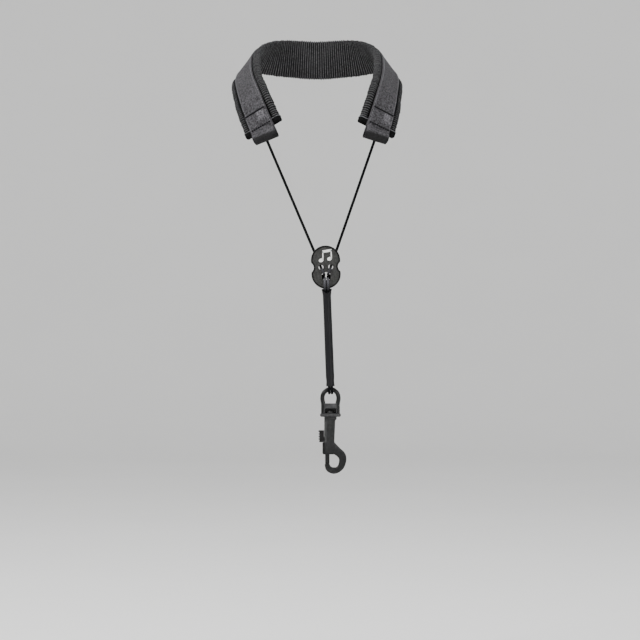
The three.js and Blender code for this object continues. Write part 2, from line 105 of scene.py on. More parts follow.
CORD_RADIUS = 1.3
HANGING_RADIUS = 1.38
STRAND_OFFSET = 1.35
STRAND_SPLIT = -74
KNOT_RADIUS = 2.4
LINE_TILT = math.radians(2.2)
HOOK_DROP = 119.3
PLATE_THICKNESS = 3.6
WEAVE_ROUTE = [  # the right cord from its upper hole down into the sleeve, in the line's frame
    (5.9, 3.3, 2.8), (5.2, 3.1, 0.9), (4.8, 1.9, -0.4), (4.6, 0, -1), (4.4, -2.1, -1.5),
    (3.8, -3.4, -2.8), (2.9, -3.4, -4.5), (2.2, -2.6, -6.4), (1.9, 0, -7.5), (2.2, 2, -7.9),
    (4.3, 3.5, -9), (5.3, 3.6, -11.5), (4.6, 3.5, -15), (2.9, 3.4, -18.6), (1.8, 2.9, -21.8),
    (1.45, 2, -25), *((STRAND_OFFSET, STRAND_OFFSET, z) for z in (-29, -45, STRAND_SPLIT)),
]
RETURN_ROUTE = [  # its return from the sleeve's mouth to the knot, listed downward
    (2.2, 4.1, -10.9), (1.7, 2.4, -11.1), (1.4, 0, -11.3), (1.4, -2, -11.2), (1.5, -3.3, -12.1),
    (1.6, -3.5, -14), (1.7, -3.4, -17), (1.7, -3.2, -20), (1.6, -2.8, -22.4), (1.45, -2, -25),
    *((STRAND_OFFSET, -STRAND_OFFSET, z) for z in (-29, -45, STRAND_SPLIT)),
]
BOW_TURN = [  # (distance out, z) of the cord down to the eye's bow
    *((STRAND_OFFSET, z) for z in (STRAND_SPLIT - 0.3, -95, -109)),
    (1.45, -112.8), (1.95, -115.8), (3.1, -118.3), (4.3, -120.9), (3.1, -123.9),
]
BOW_TURN_BOTTOM = -125.2
BRIDGE_MIDDLE = -8.5  # above it the painted highlight on the cords is weaker
END_KNOT = (2.9, 6.8, -10.3)

# ---- places, from the frame ----
plate_low, plate_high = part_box("slider_plate")
SLIDER_CENTRE = (Vector(plate_low) + Vector(plate_high)) / 2
LINE_FRAME = Matrix.Translation(SLIDER_CENTRE) @ Matrix.Rotation(-LINE_TILT, 4, "Y")
HOOK_ORIGIN = LINE_FRAME @ Vector((0, 0, -HOOK_DROP * MM))
HOOK_FRAME = Matrix.Translation(HOOK_ORIGIN)
ROW_FRAME = Matrix.Identity(4)


def in_frame(points, matrix):
    """Points in mm of a local frame, as points in metres of the row frame."""
    turn = np.array(matrix.to_3x3())
    return np.asarray(points, float) * MM @ turn.T + np.array(matrix.translation)


# ---- curves ----
def spline_point(points, part):
    """The point at part, from 0 to 1, of a centripetal Catmull-Rom spline through points."""
    last = len(points) - 1
    place = min(max(part, 0), 1) * last
    index = min(int(place), last - 1)
    weight = place - index
    p1, p2 = points[index], points[index + 1]
    p0 = points[index - 1] if index > 0 else 2 * p1 - p2
    p3 = points[index + 2] if index + 2 <= last else 2 * p2 - p1
    d0, d1, d2 = (np.linalg.norm(b - a) ** 0.5 for a, b in ((p0, p1), (p1, p2), (p2, p3)))
    m1 = ((p1 - p0) / d0 - (p2 - p0) / (d0 + d1) + (p2 - p1) / d1) * d1
    m2 = ((p2 - p1) / d1 - (p3 - p1) / (d1 + d2) + (p3 - p2) / d2) * d1
    square, cube = weight**2, weight**3
    start = (2 * cube - 3 * square + 1) * p1 + (cube - 2 * square + weight) * m1
    return start + (3 * square - 2 * cube) * p2 + (cube - square) * m2


def spline(points, count):
    points = [np.array(point, float) for point in points]
    return np.array([spline_point(points, part) for part in np.linspace(0, 1, count)])


def lengths_along(route):
    return np.concatenate([[0], np.cumsum(np.linalg.norm(np.diff(route, axis=0), axis=1))])


def even_route(points, spacing):
    """The spline through points, cut into even steps of about spacing."""
    route = spline(points, 40 * len(points))
    lengths = lengths_along(route)
    marks = np.linspace(0, lengths[-1], max(int(lengths[-1] / spacing), 2) + 1)
    return np.column_stack([np.interp(marks, lengths, route[:, axis]) for axis in range(3)])


def angles_round(sides):
    return np.arange(sides) * 2 * math.pi / sides


# ---- meshes ----
def new_piece(name, mesh, matrix, body, material, slot, *nodes):
    """A shown piece for some CAD nodes: the mesh, in mm of a local frame, moved into the row frame and
    riding on a body."""
    mesh.transform(matrix @ Matrix.Scale(MM, 4))
    mesh.name = name
    mesh.materials.clear()
    mesh.materials.append(material)
    piece = link(bpy.data.objects.new(name, mesh))
    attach(piece, body)
    if nodes:
        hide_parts(*nodes)
    return piece


def loft(rings, along, across=None, caps=True):
    """A mesh through rings of points, an array (ring, point, xyz), capped at both ends when caps is
    set.
    Its UV map holds along (a value for each ring) and across (0 to 1, or one value more than a ring's
    points)."""
    count, sides = rings.shape[:2]
    if across is None:
        across = np.arange(sides + 1) / sides
    ring = np.arange(count - 1)[:, None]
    side = np.arange(sides)[None, :]
    following = (side + 1) % sides
    corners = [ring * sides + side, ring * sides + following, (ring + 1) * sides + following,
               (ring + 1) * sides + side]
    quads = np.stack([corner.ravel() for corner in corners], axis=1)
    over, down = np.broadcast_arrays(side, ring)
    uv = np.stack([
        np.stack([across[over + a].ravel(), along[down + b].ravel()], axis=1)
        for a, b in ((0, 0), (1, 0), (1, 1), (0, 1))
    ], axis=1)
    vertices = rings.reshape(-1, 3)
    middle = vertices.mean(axis=0)
    a, b, c, d = (vertices[quads[:, k]] - middle for k in range(4))
    volume = sum(np.einsum("ij,ij->i", a, np.cross(*pair)).sum() for pair in ((b, c), (c, d)))
    faces = quads.tolist()
    loops = uv.reshape(-1, 2)
    if caps:
        vertices = np.vstack([vertices, rings[0].mean(axis=0), rings[-1].mean(axis=0)])
        near = count * sides
        last = (count - 1) * sides
        for k in range(sides):
            n = (k + 1) % sides
            faces.append([near, n, k])
            faces.append([near + 1, last + k, last + n])
        cap_uv = np.tile([[across[0], along[0]]] * 3 + [[across[0], along[-1]]] * 3, (sides, 1))
        loops = np.vstack([loops, cap_uv])
    if volume < 0:
        faces = [face[::-1] for face in faces]
        starts = np.cumsum([0] + [len(face) for face in faces])
        order = np.concatenate([np.arange(low, high)[::-1] for low, high in zip(starts, starts[1:])])
        loops = loops[order]
    mesh = bpy.data.meshes.new("loft")
    mesh.from_pydata(vertices.tolist(), [], faces)
    mesh.uv_layers.new(name="surface").data.foreach_set("uv", loops.ravel())
    mesh.shade_smooth()
    return mesh


def each_vertex(mesh, name):
    """x, y and z of every vertex's co or normal, as three arrays."""
    return np.array([getattr(vertex, name) for vertex in mesh.vertices]).T


def point_value(mesh, name, values):
    """Stores one number for each vertex, for a material to read."""
    padded = np.zeros(len(mesh.vertices))
    padded[: len(values)] = values
    mesh.attributes.new(name, "FLOAT", "POINT").data.foreach_set("value", padded)


def carried_frames(route):
    """Two directions square to the route at each of its points, turned as little as possible."""
    forward = np.gradient(route, axis=0)
    forward /= np.linalg.norm(forward, axis=1)[:, None]
    side = np.cross(forward[0], (0, 1, 0) if abs(forward[0][1]) < 0.9 else (1, 0, 0))
    sides = []
    for direction in forward:
        side = side - direction * side.dot(direction)
        side = side / np.linalg.norm(side)
        sides.append(side)
    sides = np.array(sides)
    return sides, np.cross(forward, sides)


def tube(route, radius, sides):
    """A round tube along a route of points. radius is a number, or an array (point, side)."""
    first, second = carried_frames(route)
    angle = angles_round(sides)
    radius = np.broadcast_to(radius, (len(route), sides))
    cosine, sine = (turned_by[None, :, None] for turned_by in (np.cos(angle), np.sin(angle)))
    around = cosine * first[:, None, :] + sine * second[:, None, :]
    return loft(route[:, None, :] + around * radius[:, :, None], lengths_along(route))


PLAITS = 8
PLAIT_LENGTH = 1.9
CORD_STEP = 0.24
CORD_SIDES = 32


def braided_tube(points, spacing, matrix, highlight_in_front, radius):
    """A braided cord through points: strands crossing both ways round it, each a small bump. Where it
    runs over the front of the adjuster it can be painted lighter: a painted highlight, as if lit there."""
    route = even_route(points, spacing)
    marks = lengths_along(route)[:, None] / PLAIT_LENGTH
    turn = np.arange(CORD_SIDES)[None, :] / CORD_SIDES * PLAITS / 2
    one = np.abs(np.sin(math.pi * (turn + marks)))
    other = np.abs(np.sin(math.pi * (turn - marks)))
    bump = np.sqrt(one * other)
    mesh = tube(route, radius * (0.92 + 0.1 * bump), CORD_SIDES)
    # crest also carries painted light on the plait tops and painted shade in their hollows
    point_value(mesh, "crest", bump.ravel())
    painted_front_highlight = np.zeros(len(route))
    # painted highlight on the stretches in front of the plate, weaker above BRIDGE_MIDDLE
    if highlight_in_front:
        _, y, z = route.T
        painted_front_highlight = np.clip((-y - 2) / 1.2, 0, 1) * np.clip((z + 24) / 9, 0, 1)
        painted_front_highlight *= np.where(z > BRIDGE_MIDDLE, 0.45, 1)
    point_value(mesh, "painted_front_highlight", np.repeat(painted_front_highlight, CORD_SIDES))
    return mesh, in_frame(route, matrix)


def joined(meshes, weld=0):
    """One mesh from several, with points closer than weld made one."""
    merged = bmesh.new()
    for mesh in meshes:
        merged.from_mesh(mesh)
        bpy.data.meshes.remove(mesh)
    if weld:
        bmesh.ops.remove_doubles(merged, verts=merged.verts, dist=weld)
    mesh = bpy.data.meshes.new("joined")
    merged.to_mesh(mesh)
    merged.free()
    return mesh


def evaluated(thing):
    """The mesh that an object's modifiers or curve settings make. The object is taken away."""
    link(thing)
    graph = bpy.context.evaluated_depsgraph_get()
    graph.update()
    mesh = bpy.data.meshes.new_from_object(thing.evaluated_get(graph))
    bpy.data.objects.remove(thing)
    return mesh


def plate(outlines, depth, bevel, rounds=3):
    """A plate with its faces square to Y, from outlines in x and z: its edge, then its holes."""
    curve = bpy.data.curves.new("plate", "CURVE")
    curve.dimensions = "2D"
    curve.fill_mode = "BOTH"
    curve.extrude = depth / 2 - bevel
    curve.bevel_depth = bevel
    curve.bevel_resolution = rounds
    curve.offset = -bevel
    for outline in outlines:
        piece = curve.splines.new("POLY")
        piece.points.add(len(outline) - 1)
        piece.points.foreach_set("co", [value for x, z in outline for value in (x, z, 0, 1)])
        piece.use_cyclic_u = True
    mesh = evaluated(bpy.data.objects.new("plate", curve))
    mesh.transform(Matrix.Rotation(math.pi / 2, 4, "X"))
    return mesh


def block(low, high):
    made = bmesh.new()
    bmesh.ops.create_cube(made, size=1)
    bmesh.ops.scale(made, vec=Vector(high) - Vector(low), verts=made.verts)
    bmesh.ops.translate(made, vec=(Vector(high) + Vector(low)) / 2, verts=made.verts)
    mesh = bpy.data.meshes.new("block")
    made.to_mesh(mesh)
    made.free()
    return mesh


def cylinder(start, end, radius, sides=48):
    return tube(np.linspace(start, end, 3), radius, sides)


def turned(profile, sides=64, caps=True):
    """A turned shape about Z, from (radius, z) points."""
    angle = angles_round(sides)
    circle = np.column_stack([np.cos(angle), np.sin(angle), np.zeros(sides)])
    rings = np.array([circle * max(radius, 1e-3) + (0, 0, z) for radius, z in profile])
    return loft(rings, lengths_along(np.array(profile, float)), caps=caps)


def moulded(parts, cuts=(), voxel=0.2, smoothing=3, swell=0.1):
    """One soft-edged moulded body from overlapping parts, less the cuts. swell gives back what
    softening takes."""
    body = bpy.data.objects.new("body", joined(parts))
    body.modifiers.new("fuse", "REMESH").voxel_size = voxel
    tools = []
    for cut in cuts:
        tool = link(bpy.data.objects.new("tool", cut))
        tools.append(tool)
        cutting = body.modifiers.new("cut", "BOOLEAN")
        cutting.operation = "DIFFERENCE"
        cutting.object = tool
    if cuts:
        body.modifiers.new("even", "REMESH").voxel_size = voxel
    soften = body.modifiers.new("soften", "SMOOTH")
    soften.factor = 0.5
    soften.iterations = smoothing
    regain = body.modifiers.new("regain", "DISPLACE")
    regain.strength = swell
    regain.mid_level = 0
    mesh = evaluated(body)
    for tool in tools:
        bpy.data.objects.remove(tool)
    mesh.shade_smooth()
    return mesh


def arc(x, z, radius, start, end, steps):
    angles = [math.radians(start + (end - start) * k / steps) for k in range(steps + 1)]
    return [(x + radius * math.cos(angle), z + radius * math.sin(angle)) for angle in angles]


def bend(start, control, end, steps):
    """A quadratic curve's points, without its first."""
    points = []
    for k in range(1, steps + 1):
        t = k / steps
        before, at, after = (1 - t) ** 2, 2 * t * (1 - t), t * t
        points.append(tuple(before * a + at * b + after * c for a, b, c in zip(start, control, end)))
    return points


# ---- materials ----
class Nodes:
    """Builds one material's nodes."""

    def __init__(self, name, color, roughness, **constants):
        self.material = bpy.data.materials.new(name)
        self.material.use_nodes = True
        self.tree = self.material.node_tree
        self.shader = self.tree.nodes["Principled BSDF"]
        self.shader.inputs["Base Color"].default_value = (*color, 1)
        self.shader.inputs["Roughness"].default_value = roughness
        for key, value in constants.items():
            self.shader.inputs[key.replace("_", " ")].default_value = value
        self.color = color

    def add(self, kind):
        return self.tree.nodes.new("ShaderNode" + kind)

    def put(self, socket, value):
        if isinstance(value, bpy.types.NodeSocket):
            self.tree.links.new(value, socket)
        else:
            socket.default_value = value

    def math(self, operation, a, b=0.0):
        node = self.add("Math")
        node.operation = operation
        self.put(node.inputs[0], a)
        self.put(node.inputs[1], b)
        return node.outputs[0]

    def surface(self):
        """Across and along, from the piece's UV map, in its own units."""
        node = self.add("UVMap")
        node.uv_map = "surface"
        split = self.add("SeparateXYZ")
        self.put(split.inputs[0], node.outputs[0])
        return split.outputs[0], split.outputs[1]

    def value(self, name):
        node = self.add("Attribute")
        node.attribute_name = name
        return node.outputs["Fac"]

    def noise(self, scale, detail=3.0, roughness=0.6, stretch=(1, 1, 1)):
        place = self.add("TexCoord")
        mapping = self.add("Mapping")
        mapping.inputs["Scale"].default_value = stretch
        node = self.add("TexNoise")
        node.inputs["Scale"].default_value = scale
        node.inputs["Detail"].default_value = detail
        node.inputs["Roughness"].default_value = roughness
        self.put(mapping.inputs["Vector"], place.outputs["Object"])
        self.put(node.inputs["Vector"], mapping.outputs[0])
        return node.outputs[0]

    def shade(self, amount, low, high):
        """Multiplies the base colour by amount, from 0 to 1, carried to low to high."""
        factor = self.between(amount, low, high)
        mix = self.add("Mix")
        mix.data_type = "RGBA"
        mix.blend_type = "MULTIPLY"
        mix.inputs["Factor"].default_value = 1
        a, b = (socket for socket in mix.inputs if socket.type == "RGBA")
        current = self.shader.inputs["Base Color"]
        if current.is_linked:
            self.put(a, current.links[0].from_socket)
        else:
            a.default_value = (*self.color, 1)
        self.put(b, factor)
        result = next(socket for socket in mix.outputs if socket.type == "RGBA")
        self.put(current, result)

    def stronger(self, amount, gain):
        """amount spread out from its middle, 0.5, and held between 0 and 1."""
        spread = self.math("MULTIPLY", self.math("SUBTRACT", amount, 0.5), gain)
        result = self.math("ADD", spread, 0.5)
        result.node.use_clamp = True
        return result

    def between(self, amount, low, high):
        """amount, from 0 to 1, carried to low to high."""
        return self.math("ADD", self.math("MULTIPLY", amount, high - low), low)

    def bump(self, height, distance):
        node = self.add("Bump")
        node.inputs["Distance"].default_value = distance
        self.put(node.inputs["Height"], height)
        current = self.shader.inputs["Normal"]
        if current.is_linked:
            self.put(node.inputs["Normal"], current.links[0].from_socket)
        self.put(current, node.outputs[0])

    def rough(self, amount, low, high):
        self.put(self.shader.inputs["Roughness"], self.between(amount, low, high))


def ribbed_material():
    made = Nodes("ribbed fabric", (0.016, 0.016, 0.0165), 0.85, Specular_IOR_Level=0.04)
    # painted light and shade: rib tops lighter, grooves darker, darker still beside the tape
    made.shade(made.math("POWER", made.value("crest"), 3.6), 0.0, 4.0)
    made.shade(made.stronger(made.noise(700), 3), 0.5, 1.5)
    made.bump(made.noise(2600, 4), 0.00018)
    return made.material


COLUMN_PITCH = 1.5
PICK_PITCH = 0.95
PLY_LENGTH = 0.45


def webbing_material():
    """Grey nylon tape: columns of yarn along it, crossed by fine picks that slant both ways."""
    made = Nodes("grey webbing", (0.049, 0.047, 0.0515), 0.72, Specular_IOR_Level=0.2)
    across, along = made.surface()
    column = made.math("MULTIPLY", across, 2 * math.pi / COLUMN_PITCH)
    yarn = made.math("ABSOLUTE", made.math("SINE", made.math("MULTIPLY", column, 0.5)))
    zigzag = made.math("MULTIPLY", yarn, 2.6)
    rows = made.math("MULTIPLY", along, 2 * math.pi / PICK_PITCH)
    pick = made.math("SINE", made.math("ADD", rows, zigzag))
    weave = made.math("MULTIPLY", made.between(pick, 0.5, 1.0), yarn)
    made.shade(weave, 0.55, 1.45)
    made.shade(made.stronger(made.noise(560, 4, 0.7), 4), 0.2, 1.8)
    made.shade(made.stronger(made.noise(60), 2), 0.78, 1.22)
    # painted sheen: lighter patches on both flaps
    made.shade(made.value("painted_sheen"), 1.0, 1.9)
    # painted shade: the bottom of each end loop is darkened
    made.shade(made.value("painted_loop_shade"), 1.0, 0.14)
    made.bump(weave, 0.00022)
    made.bump(made.noise(1500), 0.00008)
    return made.material


def cord_material():
    made = Nodes("braided cord", (0.0045, 0.0045, 0.005), 0.85, Specular_IOR_Level=0.02)
    # painted light and shade: plait tops lighter, hollows between them darker
    made.shade(made.value("crest"), 0.3, 1.7)
    # painted highlight: cord stretches in front of the adjuster are lightened as if lit
    made.shade(made.value("painted_front_highlight"), 1.0, 13.0)
    made.shade(made.noise(700), 0.7, 1.3)
    made.bump(made.noise(3000, 3), 0.00006)
    return made.material


def moulded_material(name, color, roughness, gloss, painted_highlight=1.8):
    """Moulded plastic with a fine grain, slight flow marks, painted shade and painted highlights."""
    made = Nodes(name, color, roughness, Specular_IOR_Level=gloss)
    made.shade(made.stronger(made.noise(420, 4, 0.65), 3), 0.55, 1.45)
    made.shade(made.noise(45), 0.85, 1.15)
    # painted shade: recesses, dark edges and sideways faces are darkened
    made.shade(made.value("shaded"), 1.0, 0.08)
    # painted highlight: chosen faces, such as a bevel or crossbar, are lightened as if lit
    made.shade(made.value("painted_highlight"), 1.0, painted_highlight)
    made.rough(made.noise(120, 4), roughness - 0.12, roughness + 0.12)
    made.bump(made.noise(1900, 3), 0.00007)
    return made.material


def sleeve_material():
    made = Nodes("sleeve rubber", (0.0105, 0.0103, 0.0115), 0.45, Specular_IOR_Level=0.08)
    made.shade(made.noise(300, 4, 0.6, (1, 1, 0.08)), 0.7, 1.3)
    made.rough(made.noise(160, 4), 0.34, 0.52)
    made.bump(made.noise(500, 4, 0.6, (1, 1, 0.15)), 0.00008)
    return made.material


def thread_material(name, color):
    made = Nodes(name, color, 0.7, Specular_IOR_Level=0.15)
    _, along = made.surface()
    ply = made.math("SINE", made.math("MULTIPLY", along, 2 * math.pi / PLY_LENGTH))
    made.shade(ply, 0.85, 1.1)
    made.shade(made.noise(900), 0.8, 1.2)
    return made.material


def foil_material():
    made = Nodes("silver foil", (0.86, 0.86, 0.84), 0.34, Metallic=0.4)
    made.shade(made.noise(500, 5), 0.82, 1.08)
    made.rough(made.noise(300, 4), 0.24, 0.46)
    made.bump(made.noise(2200), 0.00003)
    return made.material


def steel_material():
    made = Nodes("spring steel", (0.5, 0.5, 0.51), 0.3, Metallic=1.0)
    made.shade(made.noise(800, 4, 0.6, (1, 1, 4)), 0.75, 1.1)
    made.rough(made.noise(500), 0.22, 0.4)
    return made.material


ribbed_fabric = ribbed_material()
grey_webbing = webbing_material()
cord_fabric = cord_material()
hook_plastic = moulded_material("hook plastic", (0.0172, 0.0175, 0.0175), 0.42, 0.15, 2.6)
plate_plastic = moulded_material("adjuster plastic", (0.031, 0.031, 0.03), 0.5, 0.12)
eye_plastic = moulded_material("eye plastic", (0.0042, 0.0042, 0.0043), 0.3, 0.22, 9.0)
sleeve_rubber = sleeve_material()
dark_thread = thread_material("dark thread", (0.004, 0.004, 0.005))
grey_thread = thread_material("grey thread", (0.16, 0.16, 0.17))
silver_foil = foil_material()
spring_steel = steel_material()


# ---- the band's own frame ----
BAND_STEPS = 3001
WHOLE_BAND = [(place, across, -1) for place, across in reversed(HALF_BAND[1:])]
WHOLE_BAND += [(place, across, 1) for place, across in HALF_BAND]


def pulled_sideways(x, y, z):
    """A point of the band, drawn to the right with both its ends."""
    return x + PULL_REACH * min(max((PULL_TOP - z) / PULL_DEPTH, 0), 1), y, z


band_line = spline([pulled_sideways(side * x, y, z) for (x, y, z), _, side in WHOLE_BAND], BAND_STEPS)
band_marks = lengths_along(band_line)
BAND_LENGTH = band_marks[-1]
band_along = np.gradient(band_line, axis=0)
band_along /= np.linalg.norm(band_along, axis=1)[:, None]
band_across = spline([(side * x, y, z) for _, (x, y, z), side in WHOLE_BAND], BAND_STEPS)
band_across -= band_along * np.einsum("ij,ij->i", band_across, band_along)[:, None]
band_across /= np.linalg.norm(band_across, axis=1)[:, None]


def band_frames(distances):
    """Centre, along, across and outward at distances from the band's left end, straight past both."""
    distances = np.asarray(distances, float)
    inside = np.clip(distances, 0, BAND_LENGTH)

    def looked_up(table):
        return np.column_stack([np.interp(inside, band_marks, table[:, axis]) for axis in range(3)])

    along = looked_up(band_along)
    centre = looked_up(band_line) + along * (distances - inside)[:, None]
    across = looked_up(band_across)
    return centre, along, across, np.cross(along, across)


def on_band(distance, side, lift):
    """One point over the band's inner face, and the outward direction there."""
    centre, _, across, outward = (table[0] for table in band_frames([distance]))
    return centre + across * side + outward * lift, outward


def from_end(distance, end):
    """A distance from the band's left end, for one measured from its end 0 (left) or 1 (right)."""
    return distance if end == 0 else BAND_LENGTH - distance


# ---- padded band ----
RIB_PITCH = 2.3
RIB_STEPS = 6
BAND_CORNER = 2.6
HEM_CORNER = 1.9
HEM_CREST = 0.5  # how light the hem looks beside the tops of the ribs


def flat_outline(half_width, thickness, corner, faces, ends):
    """A flat section with round ends: points (across, up) and their outward directions."""
    inner = half_width - corner
    level = np.linspace(-inner, inner, faces)
    angle = np.radians(np.linspace(90, -90, ends + 2)[1:-1])
    top = np.column_stack([level, np.full(faces, thickness / 2)])
    right = np.column_stack([inner + corner * np.cos(angle), thickness / 2 * np.sin(angle)])
    points = np.vstack([top, right, -top, -right])
    flat = np.column_stack([np.zeros(faces), np.ones(faces)])
    end = np.column_stack([np.cos(angle), np.sin(angle)])
    return points, np.vstack([flat, end, -flat, -end])


def section_rings(distances, points):
    """Rings of section points, (ring, point, across and up) from the middle of the band's thickness."""
    centre, _, across, outward = band_frames(distances)
    return (centre[:, None] + across[:, None] * points[:, :, :1]
            + outward[:, None] * (points[:, :, 1:] + BAND_THICKNESS / 2))


def round_lengths(points):
    return lengths_along(np.vstack([points, points[:1]]))


def ribbed_band():
    """The padded band: ribs across it, swollen beside the tape and nearly flat under it."""
    start = HEM_LENGTH - 0.4
    ribs = int((BAND_LENGTH - 2 * start) / RIB_PITCH)
    place = np.arange(ribs * RIB_STEPS + 1) / RIB_STEPS
    distances = start + place * (BAND_LENGTH - 2 * start) / ribs
    points, outward = flat_outline(BAND_HALF_WIDTH, BAND_THICKNESS, BAND_CORNER, 34, 9)
    side, up = points.T
    past_tape = np.abs(side) - WEBBING_HALF_WIDTH
    margin = np.clip(past_tape / (BAND_HALF_WIDTH - WEBBING_HALF_WIDTH), 0, 1)
    on_top = up > BAND_THICKNESS / 2 - 0.05
    swell = np.where(on_top, 0.8 * np.sin(math.pi * margin), 0)
    depth = np.where(on_top, 0.12 + 1.05 * np.minimum(margin * 6, 1), 0.9)
    depth = np.where(np.abs(side) > BAND_HALF_WIDTH - BAND_CORNER, 1.35, depth)
    crest = np.abs(np.sin(math.pi * place)) ** 0.7
    each = random.uniform(0.75, 1.15, ribs + 1)[np.minimum(place.astype(int), ribs)]
    height = crest * each
    offset = swell[None, :] + depth[None, :] * (height[:, None] - 0.9)
    shaped = points[None] + outward[None] * offset[:, :, None]
    mesh = loft(section_rings(distances, shaped), distances, round_lengths(points))
    # crest paints rib tops lighter and grooves darker; beside lowers it near the tape: painted shade
    # there
    beside = np.where(on_top, 0.4 + 0.6 * np.clip((past_tape - 0.4) / 2, 0, 1), 1)
    point_value(mesh, "crest", (crest[:, None] * beside[None, :]).ravel())
    return mesh


def hem_mesh(end):
    """The bound end of the band, from its rounded edge to the first rib. end is 0 or 1."""
    cloth = [0, 0.12, 0.4, 0.9, 1.5, 2.4, 3.3, HEM_LENGTH]
    distances = np.array([*cloth, HEM_LENGTH + 0.35, HEM_LENGTH + 0.5])
    inset = 0.7 * (1 - np.sqrt(1 - (1 - np.clip(distances / 1.5, 0, 1)) ** 2))
    inset[-2:] = (0.1, 0.6)
    base, outward = flat_outline(BAND_HALF_WIDTH + 0.4, BAND_THICKNESS + 0.5, HEM_CORNER, 34, 9)
    shaped = base[None] - outward[None] * inset[:, None, None]
    mesh = loft(section_rings(from_end(distances, end), shaped), distances, round_lengths(base))
    point_value(mesh, "crest", np.full(len(distances) * len(base), HEM_CREST))
    return mesh


def stitch(middle, direction, outward, length, radius):
    """One stitch that dives into the cloth at both ends."""
    part = np.linspace(-1, 1, 7)
    rise = 0.45 * radius - 1.1 * radius * part**4
    route = middle + np.outer(part * length / 2, direction) + np.outer(rise, outward)
    thickness = radius * np.sqrt(np.clip(1.08 - part**4, 0.05, 1))
    return tube(route, thickness[:, None], 8)


def stitch_row(places, length, radius):
    """Stitches between neighbouring places, each (point, outward). length is a share of the gap."""
    made = []
    for (here, up), (there, _) in zip(places, places[1:]):
        step = there - here
        reach = np.linalg.norm(step)
        made.append(stitch((here + there) / 2, step / reach, up, reach * length, radius))
    return made


def over_band(points):
    """Stitch places over the band from (distance, side, lift)."""
    return [on_band(*point) for point in points]


def hem_line(end):
    """The light overlock row where a hem meets the ribs, all the way round the band."""
    base, outward = flat_outline(BAND_HALF_WIDTH + 0.3, BAND_THICKNESS + 0.55, HEM_CORNER, 30, 6)
    distance = from_end(HEM_LENGTH + 0.75, end)
    centre, _, across, over = (table[0] for table in band_frames([distance]))
    places = []
    for (side, up), (toward_side, toward_up) in zip(base, outward):
        point = centre + across * side + over * (up + BAND_THICKNESS / 2)
        places.append((point, across * toward_side + over * toward_up))
    return stitch_row(places + places[:1], 0.92, 0.38)


def tape_path():
    """The tape's route as (distance, lift): a flap's end, the end loop, along the band and back."""
    keys = [(FLAP_LENGTH, UPPER_LIFT), (13, UPPER_LIFT), (7, UPPER_LIFT), (2, UPPER_LIFT),
            (-1.5, UPPER_LIFT + 0.2), (-4, UPPER_LIFT + 1.2), (-7, LOOP_LIFT + LOOP_RADIUS - 0.5)]
    for degrees in range(90, -91, -20):
        angle = math.radians(degrees)
        out, up = LOOP_RADIUS * math.cos(angle), LOOP_RADIUS * math.sin(angle)
        keys.append((-LOOP_REACH - out, LOOP_LIFT + up))
    keys += [(-7, LOOP_LIFT - LOOP_RADIUS + 0.2), (-4, LOWER_LIFT - 0.9), (-1, LOWER_LIFT - 0.1),
             (2, LOWER_LIFT), (7, LOWER_LIFT), (14, LOWER_LIFT)]
    near = spline(keys, 130)
    middle = np.linspace(14, BAND_LENGTH - 14, 520)[1:-1]
    far = near[::-1] * (-1, 1) + (BAND_LENGTH, 0)
    return np.vstack([near, np.column_stack([middle, np.full(len(middle), LOWER_LIFT)]), far])


def tape_wave(mark, side):
    slow = noise.noise(Vector((mark / 9, side / 7, 3)))
    return slow + 0.5 * noise.noise(Vector((mark / 4, side / 4, 8)))


def tape_shift(distances):
    """How far the sewn tape lies toward the neck: TAPE_SHIFT between the flaps, nothing at them."""
    nearest_end = np.minimum(distances, BAND_LENGTH - distances)
    return TAPE_SHIFT * np.clip((nearest_end - FLAP_LENGTH) / 30, 0, 1)


def tape_mesh():
    """The woven tape, a little thicker at its selvedges and drawn in by its stitches."""
    path = tape_path()
    centre, along, across, outward = band_frames(path[:, 0])
    steps = np.gradient(path, axis=0)
    heading = along * steps[:, :1] + outward * steps[:, 1:]
    heading /= np.linalg.norm(heading, axis=1)[:, None]
    facing = np.cross(heading, across)
    middle = centre + outward * path[:, 1:]
    points, normals = flat_outline(WEBBING_HALF_WIDTH, WEBBING_THICKNESS, 0.8, 44, 4)
    side = points[:, 0]
    thicker = 0.12 * np.exp(-(((np.abs(side) - 11.9) / 0.5) ** 2))
    drawn_in = 0.16 * np.exp(-(((np.abs(side) - SEAM_SIDE) / 0.35) ** 2))
    selvedge = thicker - drawn_in
    marks = lengths_along(middle)
    wave = np.array([[tape_wave(mark, across_place) for across_place in side] for mark in marks])
    up = points[:, 1] + normals[:, 1] * selvedge
    middle = middle - across * tape_shift(path[:, 0])[:, None]
    past_end = np.maximum(-path[:, 0], path[:, 0] - BAND_LENGTH)
    pulled = LOOP_SKEW * np.clip(past_end / 8, 0, 1)[:, None] * (WEBBING_HALF_WIDTH - side)
    outward_end = along * np.where(path[:, :1] < BAND_LENGTH / 2, -1, 1)
    rings = (middle[:, None] + across[:, None] * side[None, :, None]
             + outward_end[:, None] * pulled[:, :, None]
             + facing[:, None] * (up[None, :] + 0.16 * wave)[:, :, None])
    mesh = loft(rings, marks, np.append(side, side[0]))

    def patch(low, high, left, right):
        inside = np.clip((marks - low) / 0.7, 0, 1) * np.clip((high - marks) / 0.7, 0, 1)
        beside = np.clip((side - left) / 0.7, 0, 1) * np.clip((right - side) / 0.7, 0, 1)
        return inside[:, None] * beside[None, :]

    # painted sheen: lighter patches on both flaps, as a highlight on the fabric
    painted_sheen = patch(1.2, 11.5, -9.5, -0.5) + patch(marks[-1] - 13, marks[-1] - 1.2, 0.5, 10)
    point_value(mesh, "painted_sheen", painted_sheen.ravel())
    # painted shade: the bottom of each end loop, where it curves under, is darkened
    painted_loop_shade = np.clip((past_end - 7.2) / 2, 0, 1)
    point_value(mesh, "painted_loop_shade", np.repeat(painted_loop_shade, len(side)))
    return mesh, marks[-1]


STITCH_PITCH = 2.9
EDGE_STITCH = 0.78  # a stitch's share of the distance between its needle holes


